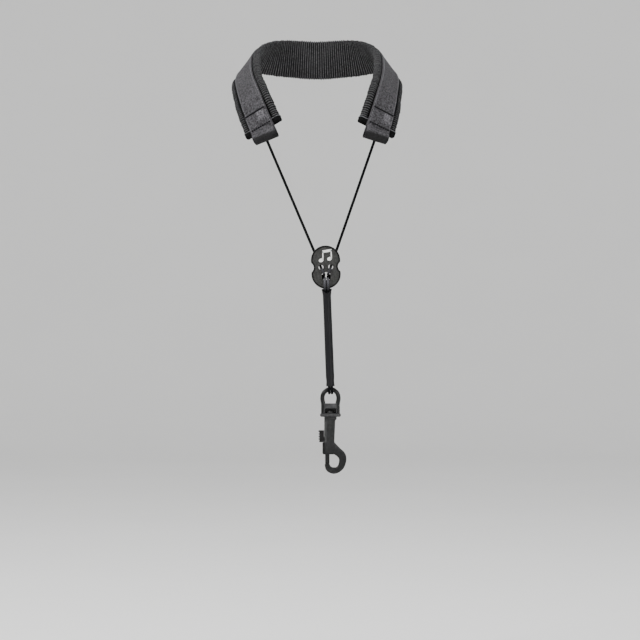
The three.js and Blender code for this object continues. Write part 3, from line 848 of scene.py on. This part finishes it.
def tape_seams():
    """Grey rows along both edges of the tape, and dark rows across each flap."""
    top = WEBBING_THICKNESS / 2
    lengthwise = []
    crosswise = []
    for side in (-SEAM_SIDE, SEAM_SIDE):
        count = int((BAND_LENGTH - 2 * FLAP_LENGTH) / STITCH_PITCH)
        run = np.linspace(FLAP_LENGTH + 0.4, BAND_LENGTH - FLAP_LENGTH - 0.4, count)
        row = over_band(zip(run, side - tape_shift(run), [LOWER_LIFT + top] * count))
        lengthwise += stitch_row(row, EDGE_STITCH, 0.26)
        for end in (0, 1):
            run = np.linspace(1.5, 16, 6)
            flap_row = over_band((place, side, UPPER_LIFT + top) for place in from_end(run, end))
            lengthwise += stitch_row(flap_row, EDGE_STITCH, 0.22)
    for end in (0, 1):
        for distance, count, share, radius in ((18.3, 12, 0.98, 0.8), (0.8, 10, 0.38, 0.9)):
            place = from_end(distance, end)
            run = np.linspace(-11.2, 11.2, count)
            row = over_band((place, side, UPPER_LIFT + top) for side in run)
            crosswise += stitch_row(row, share, radius)
    return lengthwise, crosswise


def band_piece(name, mesh, material, slot, *nodes):
    return new_piece(name, mesh, ROW_FRAME, "neck_band", material, slot, *nodes)


band = band_piece("ribbed_band", ribbed_band(), ribbed_fabric, "ribbed_fabric", "ribbed_cover",
                  "pad_core")

for end, word in enumerate(("left", "right")):
    band_piece(f"{word}_bound_end", hem_mesh(end), ribbed_fabric, "ribbed_fabric", f"{word}_hem")
    band_piece(f"{word}_hem_seam", joined(hem_line(end)), grey_thread, "grey_webbing")

tape_shape, tape_length = tape_mesh()
tape = band_piece("woven_tape", tape_shape, grey_webbing, "grey_webbing", "webbing")
edge_rows, cross_rows = tape_seams()
edge_seams = band_piece("tape_edge_seams", joined(edge_rows), grey_thread, "grey_webbing")
cross_seams = band_piece("flap_seams", joined(cross_rows), dark_thread, "cord")


# ---- cords ----
def mirrored(points, side):
    return [(side * x, y, z) for x, y, z in points]


def line_point(point):
    """A point in mm of the leaning line's frame, in mm of the row frame."""
    return np.array(LINE_FRAME @ Vector([value * MM for value in point])) / MM


KNOT_SIZE = 5.4
KNOT_CURVE = 9.2  # the size of the curve before it is scaled
KNOT_SIDES = 14


def knot_mesh():
    """A tight overhand knot of one cord."""
    turn = np.linspace(0, 2 * math.pi, 90, endpoint=False)
    x, y = np.sin(turn) + 2 * np.sin(2 * turn), np.cos(turn) - 2 * np.cos(2 * turn)
    path = np.column_stack([x, y, -1.6 * np.sin(3 * turn)])
    route = path * KNOT_SIZE / KNOT_CURVE
    route = np.vstack([route, route[:1]])
    mesh = tube(route, CORD_RADIUS * 0.74, KNOT_SIDES)
    marks = lengths_along(route)[:, None] / 1.6
    around = 3 * np.arange(KNOT_SIDES)[None] / KNOT_SIDES
    crest = np.sqrt(np.abs(np.sin(math.pi * (around + marks)) * np.sin(math.pi * (around - marks))))
    # crest paints the knot's plait tops lighter and its hollows darker: painted light and shade
    point_value(mesh, "crest", crest.ravel())
    return mesh


def cord_piece(name, points, body, matrix, node, radius=CORD_RADIUS, spacing=CORD_STEP):
    mesh, path = braided_tube(points, spacing, matrix, body == "adjuster", radius)
    return new_piece(name, mesh, matrix, body, cord_fabric, "cord", node), path


def knot_piece(name, matrix, body, node):
    new_piece(name, knot_mesh(), matrix, body, cord_fabric, "cord", node)


for word, side, beyond in (("left", -1, -LOOP_REACH), ("right", 1, BAND_LENGTH + LOOP_REACH)):
    loop_centre = on_band(beyond, 0, LOOP_LIFT)[0]
    bottom = line_point(mirrored(WEAVE_ROUTE, side)[0])
    down = (bottom - loop_centre) / np.linalg.norm(bottom - loop_centre)
    top = loop_centre + down * (KNOT_RADIUS - 0.6)
    route = [top, (top + bottom) / 2, bottom + down * 0.2]
    cord, path = cord_piece(f"{word}_hanging_cord", route, "neck_band", ROW_FRAME, f"{word}_cord",
                            radius=HANGING_RADIUS)
    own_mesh(cord)

    held = Matrix.Translation(Vector(loop_centre * MM)) @ Matrix.Rotation(math.pi / 2, 4, "X")
    knot_piece(f"{word}_loop_knot", held, "neck_band", f"{word}_anchor_knot")

    for kind, route, node in (("woven", WEAVE_ROUTE, "weave"), ("return", RETURN_ROUTE, "return")):
        cord_piece(f"{word}_{kind}_cord", mirrored(route, side), "adjuster", LINE_FRAME,
                   f"{word}_{node}")
    tail = LINE_FRAME @ Matrix.Translation(Vector(mirrored([END_KNOT], side)[0]) * MM)
    knot_piece(f"{word}_tail_knot", tail, "adjuster", f"{word}_end_knot")

    front = [(side * STRAND_OFFSET, -out, z) for out, z in BOW_TURN]
    back = [(side * STRAND_OFFSET, out, z) for out, z in reversed(BOW_TURN)]
    turn = front + [(side * STRAND_OFFSET, 0, BOW_TURN_BOTTOM)] + back
    cord_piece(f"{word}_eye_loop", turn, "lower_line", LINE_FRAME, f"{word}_bow_loop", spacing=0.26)


# ---- adjuster ----
LOBE_RADIUS = 14.5
LOBE_OFFSET = 6.9
LOBE_JOIN = 8  # degrees
WAIST_HALF_WIDTH = 11.9


def violin_outline(inset=0.0):
    radius = LOBE_RADIUS - inset
    corner_x = radius * math.cos(math.radians(LOBE_JOIN))
    corner_z = LOBE_OFFSET - radius * math.sin(math.radians(LOBE_JOIN))
    pinch = 2 * (WAIST_HALF_WIDTH - inset) - corner_x
    outline = arc(0, LOBE_OFFSET, radius, -LOBE_JOIN, 180 + LOBE_JOIN, 60)
    outline += bend((-corner_x, corner_z), (-pinch, 0), (-corner_x, -corner_z), 14)[:-1]
    outline += arc(0, -LOBE_OFFSET, radius, 180 - LOBE_JOIN, 360 + LOBE_JOIN, 60)
    outline += bend((corner_x, -corner_z), (pinch, 0), (corner_x, corner_z), 14)[:-1]
    return outline


def round_hole(x, z, radius):
    return arc(x, z, radius, 360, 0, 40)[:-1]


UPPER_HOLE_RADIUS = 2.5


def cord_holes(grow=0.0):
    """The two round upper holes and the rounded lower one."""
    half_width, half_height, corner, z = 4.3 + grow, 4 + grow, 2.6 + grow, -8.9
    x, up = half_width - corner, half_height - corner
    lower = []
    for start, right, above in ((90, x, up), (0, x, -up), (-90, -x, -up), (180, -x, up)):
        lower += arc(right, z + above, corner, start, start - 90, 8)
    return [round_hole(x, 0, UPPER_HOLE_RADIUS + grow) for x in (-4.8, 4.8)] + [lower]


def adjuster_plate():
    """The plate with a low rim round its edge and round each hole."""
    inner = plate([violin_outline(), *cord_holes()], PLATE_THICKNESS - 0.9, 0.5)
    rim = plate([violin_outline(), violin_outline(1.3)[::-1]], PLATE_THICKNESS, 0.45)
    lips = [plate([hole_edge[::-1], hole], PLATE_THICKNESS - 0.1, 0.3)
            for hole_edge, hole in zip(cord_holes(0.9), cord_holes())]
    mesh = moulded([inner, rim, *lips], voxel=0.17, swell=0.06)
    flat = each_vertex(mesh, "co")[[0, 2]].T
    edge = np.array(violin_outline())
    nearest = np.min([np.linalg.norm(flat - point, axis=1) for point in edge], axis=0)
    # painted shade: a dark band along the plate's outer edge
    point_value(mesh, "shaded", np.clip((1.9 - nearest) / 0.5, 0, 1))
    return mesh


def note_head(x, z):
    """An oval that leans by 20 degrees."""
    lean_x, lean_z = math.cos(math.radians(20)), math.sin(math.radians(20))
    oval = [(2.4 * a, 1.8 * b) for a, b in arc(0, 0, 1, 0, 360, 40)[:-1]]
    return [(x + a * lean_x - b * lean_z, z + a * lean_z + b * lean_x) for a, b in oval]


def notes():
    """A plain pair of beamed musical notes."""
    strokes = [
        note_head(-4.4, 6.9),
        note_head(4, 8.1),
        [(-3.1, 6.9), (-2, 6.9), (-2, 16), (-3.1, 16)],
        [(5.3, 8.1), (6.4, 8.1), (6.4, 17.2), (5.3, 17.2)],
        [(-3.1, 14.1), (6.4, 15.3), (6.4, 17.8), (-3.1, 16.6)],
    ]
    mesh = joined([plate([stroke], 0.5, 0.06, 1) for stroke in strokes])
    mesh.transform(Matrix.Translation((0, -PLATE_THICKNESS / 2 + 0.1, 0)))
    mesh.shade_flat()
    return mesh


new_piece("violin_plate", adjuster_plate(), LINE_FRAME, "adjuster", plate_plastic,
          "moulded_plastic", "slider_plate")
new_piece("beamed_notes", notes(), LINE_FRAME, "adjuster", silver_foil, "silver_print", "emblem")


# ---- sleeve ----
def mouth_dip(angle):
    """How far the sleeve's mouth is cut down at an angle round it: most in front."""
    return 4.4 * np.clip(0.5 - 0.5 * np.sin(angle), 0, 1) ** 3


def mouth_width(z):
    """The mouth is narrower from side to side than from front to back."""
    return 1 - 0.08 * np.clip((z + 31) / 8, 0, 1)


def sleeve_mesh():
    """A rubber tube with a flared, rolled mouth and a lower end that is deeper than it is wide."""
    outer = [(5.2, -21.6), (5.1, -22.6), (4.95, -24), (4.6, -26), (4.15, -28.8), (4.0, -36),
             (4.02, -60), (4.1, -90), (4.15, -109), (4.3, -114), (5.1, -118.3)]
    inner = [(4.75, -118.3), (3.9, -114.5), (3.4, -110), (3.4, -100), (3.4, -60), (3.4, -31),
             (3.7, -27.6), (4.3, -24.5), (4.7, -21.6)]
    sides = 56
    angle = angles_round(sides)

    def wall(profile, count):
        route = spline([(radius, 0, z) for radius, z in profile], count)
        return [(radius, z) for radius, _, z in route]

    profile = wall(outer, 150) + wall(inner, 60)
    profile.append(profile[0])
    rings = []
    for radius, z in profile:
        lowered = np.clip((z + 34) / 12, 0, 1) * mouth_dip(angle)
        lobes = 0.07 * np.cos(4 * angle) * np.clip((-28 - z) / 6, 0, 1)
        swell = 0.06 * noise.noise(Vector((0, 1, z / 9)))
        reach = radius + lobes + swell
        oval = mouth_width(z) * (1 - 0.17 * np.clip((-109 - z) / 9.3, 0, 1))
        x, y = reach * np.cos(angle) * oval, reach * np.sin(angle)
        rings.append(np.column_stack([x, y, z - lowered]))
    mesh = loft(np.array(rings), lengths_along(np.array(profile)), caps=False)
    turn = np.linspace(0, 2 * math.pi, 73)
    rim_x = 4.95 * mouth_width(-21.6) * np.cos(turn)
    rim = np.column_stack([rim_x, 4.95 * np.sin(turn), -21.9 - mouth_dip(turn)])
    return joined([joined([mesh], weld=1e-4), tube(rim, 0.55, 12)])


new_piece("rubber_sleeve", sleeve_mesh(), LINE_FRAME, "lower_line", sleeve_rubber, "sleeve_rubber",
          "sleeve")


# ---- swivel eye and hook, in mm from the top of the eye's bow ----
BOLT_X = -3.1
SPRING_TOP = -35
SPRING_BOTTOM = -49.2
EYE_HALF_WIDTH = 7.2
EYE_WIRE_RADIUS = 2.1
EYE_WAIST = 0.35  # how much thinner the wire is under the cords
FLANGE_HALF_WIDTH = 8.7
FLANGE_TOP = -26
FLANGE_BOTTOM = -29.3
BARREL_DEPTH = 8.6
RING_DEPTH = 6.4
SERRATIONS = (-45.2, -47.7, -50.2, -52.7)


def eye_mesh():
    half = [(EYE_HALF_WIDTH, -27.6), (7.15, -22), (EYE_HALF_WIDTH, -16.5), (8, -11), (7, -6.4),
            (4.1, -3.3)]
    bow = [(-x, 0, z) for x, z in half] + [(0, 0, -1.5)] + [(x, 0, z) for x, z in reversed(half)]
    route = even_route(bow, 0.6)
    waisted = EYE_WIRE_RADIUS - EYE_WAIST * np.exp(-(route[:, 0] / 3) ** 2)
    left, right, low, high = -FLANGE_HALF_WIDTH, FLANGE_HALF_WIDTH, FLANGE_BOTTOM, FLANGE_TOP
    parts = [
        tube(route, waisted[:, None], 32),
        block((-EYE_HALF_WIDTH, -2.3, -20.9), (EYE_HALF_WIDTH, 4.2, -16.2)),
        block((-EYE_HALF_WIDTH, 3.25, low), (EYE_HALF_WIDTH, 4.2, -20)),
        plate([[(left, low), (right, low), (right, high), (left, high)]], 6, 0.4),
        block((-EYE_HALF_WIDTH, 2, low), (EYE_HALF_WIDTH, 4.2, high)),
    ]
    parts += [cylinder((x, -3, -27.65), (x, 3, -27.65), 1.65) for x in (left, right)]
    mesh = moulded(parts, [cylinder((0, 0, -24), (0, 0, -31.5), 2.4)], voxel=0.18)
    x, y, z = each_vertex(mesh, "co")
    # painted shade: the recess inside the window is painted dark
    window = (y > -1.6) & (np.abs(x) < 5.5) & (z < -20.6) & (z > -26.2)
    point_value(mesh, "shaded", window.astype(float))
    # painted highlight: the front faces of the crossbar and flange are lightened as if catching light
    facing = np.abs(each_vertex(mesh, "normal")[1]) > 0.6
    crossbar_or_flange = (z < -16) & (np.abs(x) < 6.2) | (z < -26.2)
    point_value(mesh, "painted_highlight", (facing & crossbar_or_flange & ~window).astype(float))
    return mesh


def uniform_spline(points, steps):
    """The points of a uniform Catmull-Rom curve through points, without the first."""
    padded = [points[0], *points, points[-1]]
    made = []
    for index in range(len(points) - 1):
        p0, p1, p2, p3 = (np.array(point, float) for point in padded[index:index + 4])
        for k in range(1, steps + 1):
            t = k / steps
            m1, m2 = (p2 - p0) / 2, (p3 - p1) / 2
            cubic = 2 * p1 - 2 * p2 + m1 + m2
            square = 3 * p2 - 3 * p1 - 2 * m1 - m2
            made.append(tuple(cubic * t**3 + square * t**2 + m1 * t + p1))
    return made


def ring_outline():
    """The hook's ring: from the barrel's right side round to the seat under the bolt, and back."""
    outer = [(3.6, -54.4), (9, -60.2), (13.9, -64.9), (15.7, -69.5), (15.3, -75), (12.9, -80.6),
             (8.3, -84.6), (3, -85.9), (-2.2, -84.2), (-5, -80.8), (-5.7, -76.4)]
    inner = [(5.6, -79.7), (7.6, -77.6), (8.6, -73.6), (8.3, -70.7), (6.2, -68.2), (3, -66.3)]
    outline = [outer[0]] + uniform_spline(outer, 6)
    outline += [(-0.9, -76.4)] + bend((-0.9, -76.4), (0.1, -79.7), (2.6, -79.7), 8) + [(5.6, -79.7)]
    return outline + uniform_spline(inner, 6) + [(0, -62)]


def hook_mesh():
    outline = [(-6.1, -29.6), (-6.1, -54.8), (-7.9, -55.2), (-7.9, -65.4), (-7, -66.5),
               (3.3, -66.5), (3.7, -56), (4.7, -33.2), (6, -31.2), (6, -29.6)]
    barrel = plate([outline[::-1]], BARREL_DEPTH, 0.6)
    post = turned([(0, -32), (2.1, -32), (2.1, -25.7), (2.95, -25.7), (2.95, -25), (2.5, -24),
                   (1.5, -23.4), (0, -23.2)])
    ring = plate([ring_outline()[::-1]], RING_DEPTH, 1.7, 5)
    bevels = []
    for front in (-1, 1):
        cut = block((-2, -2, -16), (2, 2, 14))
        place = Matrix.Translation((-6.5, front * 4.7, -48.5))
        cut.transform(place @ Matrix.Rotation(math.pi / 4, 4, "Z"))
        bevels.append(cut)
    channel = cylinder((BOLT_X, 0, SPRING_TOP), (BOLT_X, 0, -68), 2.55)
    slot = block((-9, -1.5, -54.9), (BOLT_X, 1.5, -39.9))
    mesh = moulded([barrel, post, ring], [channel, slot, *bevels])
    x, _, z = each_vertex(mesh, "co")
    facing_x, facing_y, _ = each_vertex(mesh, "normal")
    # painted shade: its ring and the faces that look sideways are painted darker than the barrel's
    # front
    lower = np.clip((-60 - z) / 12, 0, 0.4)
    sideways = 0.75 * np.clip(1.15 - 1.4 * np.abs(facing_y), 0, 1)
    point_value(mesh, "shaded", np.maximum(lower, sideways))
    # painted highlight: the left bevel is lightened as if lit from the left
    bevelled = (x < -3.6) & (z > -55) & (facing_x < -0.3) & (np.abs(facing_y) > 0.3)
    point_value(mesh, "painted_highlight", bevelled.astype(float))
    return mesh


def bolt_mesh():
    outline = [(-12, -43.4), (-12, -53.4), (-10.6, -54.5), (-6.45, -54.5), (-6.45, -42.8),
               (-11.2, -42.8)]
    thumb = plate([outline], RING_DEPTH, 0.4)
    rod = cylinder((BOLT_X, 0, SPRING_BOTTOM), (BOLT_X, 0, -76.1), 2.2)
    neck = block((-9, -1.2, -53.9), (BOLT_X, 1.2, -49.5))
    grooves = [cylinder((-12, -4, z), (-12, 4, z), 1.14, 24) for z in SERRATIONS]
    return moulded([thumb, rod, neck], grooves, voxel=0.15, smoothing=2, swell=0.05)


SPRING_TURNS = 7
SPRING_RADIUS = 1.85
SPRING_WIRE = 0.25


def spring_mesh():
    part = np.linspace(0, 1, SPRING_TURNS * 28 + 1)
    angle = 2 * math.pi * SPRING_TURNS * part
    low, high = SPRING_BOTTOM + 0.55, SPRING_TOP - 0.55
    x, y = BOLT_X + SPRING_RADIUS * np.cos(angle), SPRING_RADIUS * np.sin(angle)
    return tube(np.column_stack([x, y, low + (high - low) * part]), SPRING_WIRE, 10)


new_piece("moulded_eye", eye_mesh(), HOOK_FRAME, "eye", eye_plastic, "dark_plastic", "swivel_eye")
new_piece("moulded_hook", hook_mesh(), HOOK_FRAME, "hook", hook_plastic, "moulded_plastic",
          "hook_body")
new_piece("plunger", bolt_mesh(), HOOK_FRAME, "snap_bolt", eye_plastic, "dark_plastic", "bolt")
spring = new_piece("coil_spring", spring_mesh(), HOOK_FRAME, "hook", spring_steel, "spring_steel",
                   "bolt_spring")
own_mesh(spring)


# ---- floor, backdrop and light ----
FLOOR = -0.62
FLOOR_RADIUS = 3.4
WALL_BEND = 1.4
WALL_TOP = 3.4


def studio_bowl():
    """A pale round floor, in metres, whose edge curves up into a wall all the way round."""
    profile = [(0.001, FLOOR), (FLOOR_RADIUS, FLOOR)]
    for angle in np.linspace(0.1, 1.5, 16):
        out, up = WALL_BEND * math.sin(angle), WALL_BEND * (1 - math.cos(angle))
        profile.append((FLOOR_RADIUS + out, FLOOR + up))
    profile += [(FLOOR_RADIUS + WALL_BEND, 1.2), (FLOOR_RADIUS + WALL_BEND, WALL_TOP)]
    return turned(profile, 96, caps=False)


paper = Nodes("pale paper", (0.87, 0.87, 0.865), 0.9, Specular_IOR_Level=0.1)
paper.shade(paper.noise(3), 0.97, 1.02)
floor = link(bpy.data.objects.new("floor", studio_bowl()))
floor.data.materials.append(paper.material)


def area_light(name, place, target, size, power):
    data = bpy.data.lights.new(name, "AREA")
    data.shape = "DISK"
    data.size = size
    data.energy = power
    light = link(bpy.data.objects.new(name, data))
    light.location = place
    light.rotation_euler = (Vector(target) - Vector(place)).to_track_quat("-Z", "Y").to_euler()


area_light("key", (-1.6, -1.4, 1.2), (0, -0.1, -0.2), 0.8, 62)
area_light("fill", (1.5, -1.8, 0.3), (0, -0.1, -0.2), 1.2, 30)
area_light("top", (0, 0.2, 1.4), (0, -0.1, -0.1), 0.8, 14)

world = bpy.data.worlds.new("studio")
world.use_nodes = True
world.node_tree.nodes["Background"].inputs["Color"].default_value = (1, 1, 1, 1)
world.node_tree.nodes["Background"].inputs["Strength"].default_value = 0.8
bpy.context.scene.world = world
